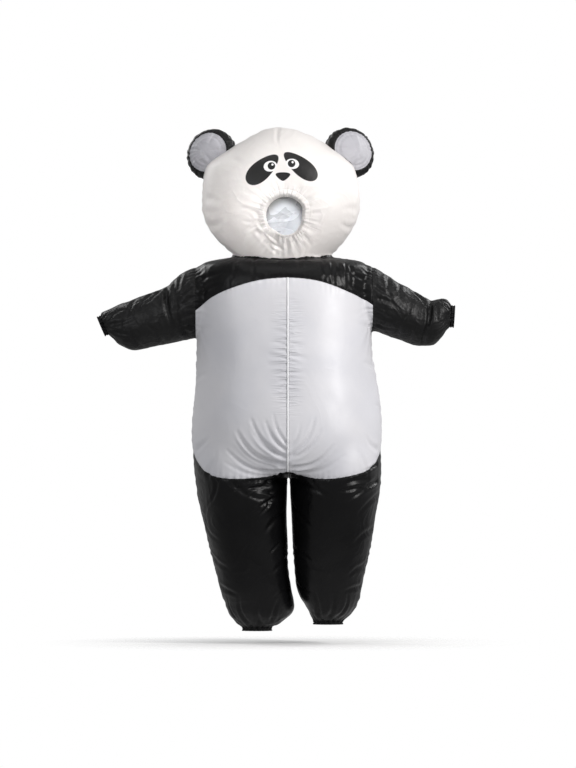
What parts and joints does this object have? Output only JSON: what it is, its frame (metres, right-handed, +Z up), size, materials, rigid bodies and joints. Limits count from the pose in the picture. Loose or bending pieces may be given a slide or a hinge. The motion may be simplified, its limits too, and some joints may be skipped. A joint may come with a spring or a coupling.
{
  "type": "inflatable panda costume",
  "caption": "Full-body inflatable panda costume, filled out with air: round white head with ears and a clear face window, white belly with a front zip, black sleeves and legs, elastic cuffs",
  "frame": {"origin": "on the centre line at shoulder height, where the wearer's shoulders carry the costume", "axes": "+Z up, the face and belly look along -Y, +X to the wearer's left"},
  "size_m": [1.3448, 0.5957, 1.887],
  "materials": {
    "head_cloth": "warm white polyester taffeta, soft sheen, printed eye patches and nose",
    "white_cloth": "cool white polyester taffeta, satin sheen",
    "black_cloth": "black polyester taffeta, glossy where creased",
    "grey_cloth": "light grey polyester taffeta, soft sheen",
    "zip_tape": "white coil zip, closed, fine teeth",
    "clear_film": "soft clear film, slightly crinkled"
  },
  "bodies": {
    "root": {"head_front": "head_cloth", "head_back": "head_cloth", "window_rim": "head_cloth", "window_film": "clear_film", "yoke_front": "black_cloth", "yoke_back": "black_cloth", "belly_right": "white_cloth", "belly_left": "white_cloth", "front_zip": "zip_tape", "back_panel": "white_cloth", "sleeve_right_front": "black_cloth", "sleeve_right_back": "black_cloth", "sleeve_left_front": "black_cloth", "sleeve_left_back": "black_cloth", "wrist_cuff_right": "black_cloth", "wrist_cuff_left": "black_cloth", "leg_right": "black_cloth", "leg_left": "black_cloth", "ankle_cuff_right": "black_cloth", "ankle_cuff_left": "black_cloth", "ear_right_face": "grey_cloth", "ear_right_rim": "black_cloth", "ear_left_face": "grey_cloth", "ear_left_rim": "black_cloth"}
  },
  "joints": []
}
